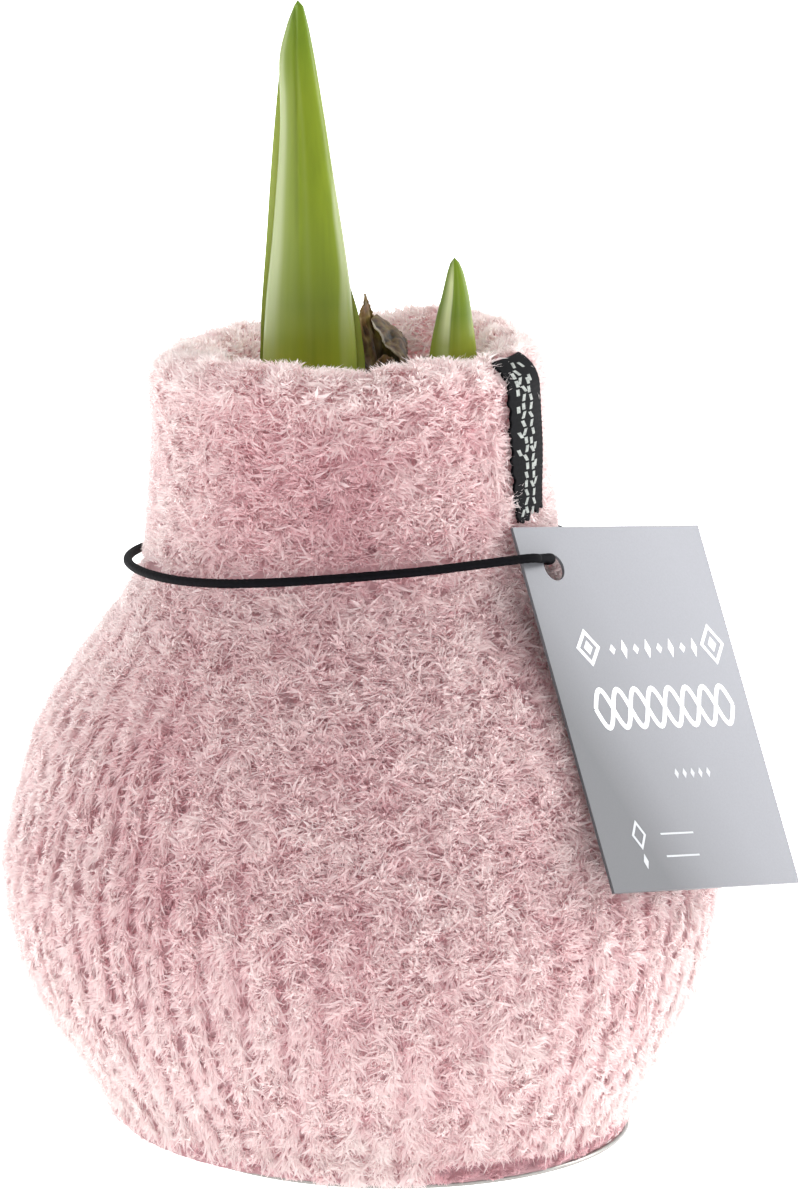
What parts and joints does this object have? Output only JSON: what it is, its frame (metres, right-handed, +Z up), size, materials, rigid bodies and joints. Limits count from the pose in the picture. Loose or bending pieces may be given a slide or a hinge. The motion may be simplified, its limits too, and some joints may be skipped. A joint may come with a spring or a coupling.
{
  "type": "amaryllis bulb in a knitted sleeve",
  "caption": "Amaryllis bulb in a fluffy pink knitted sleeve, with two green shoots, a corded swing tag, a woven label and a wire foot to stand on.",
  "frame": {"origin": "middle of the wire foot, on the underside that it stands on", "axes": "+Z up along the bulb, -Y towards the front, +X to the right where the swing tag hangs"},
  "size_m": [0.1176, 0.1076, 0.1683],
  "materials": {
    "sleeve_knit": "fluffy chenille knit, soft pink",
    "bulb_tunic": "dry papery brown skin",
    "front_leaf": "glossy green leaf",
    "back_leaf": "glossy green leaf",
    "small_shoot_leaf": "glossy green leaf",
    "cord_braid": "braided elastic, black",
    "label_weave": "woven black ribbon with a small white pattern",
    "tag_card": "silver grey satin card",
    "foot_wire": "plain galvanised wire"
  },
  "bodies": {
    "root": {"knit_sleeve": "sleeve_knit", "amaryllis_bulb": "bulb_tunic", "large_front_leaf": "front_leaf", "large_back_leaf": "back_leaf", "small_shoot": "small_shoot_leaf", "elastic_cord": "cord_braid", "woven_label": "label_weave", "swing_tag": "tag_card", "wire_foot": "foot_wire"}
  },
  "joints": []
}
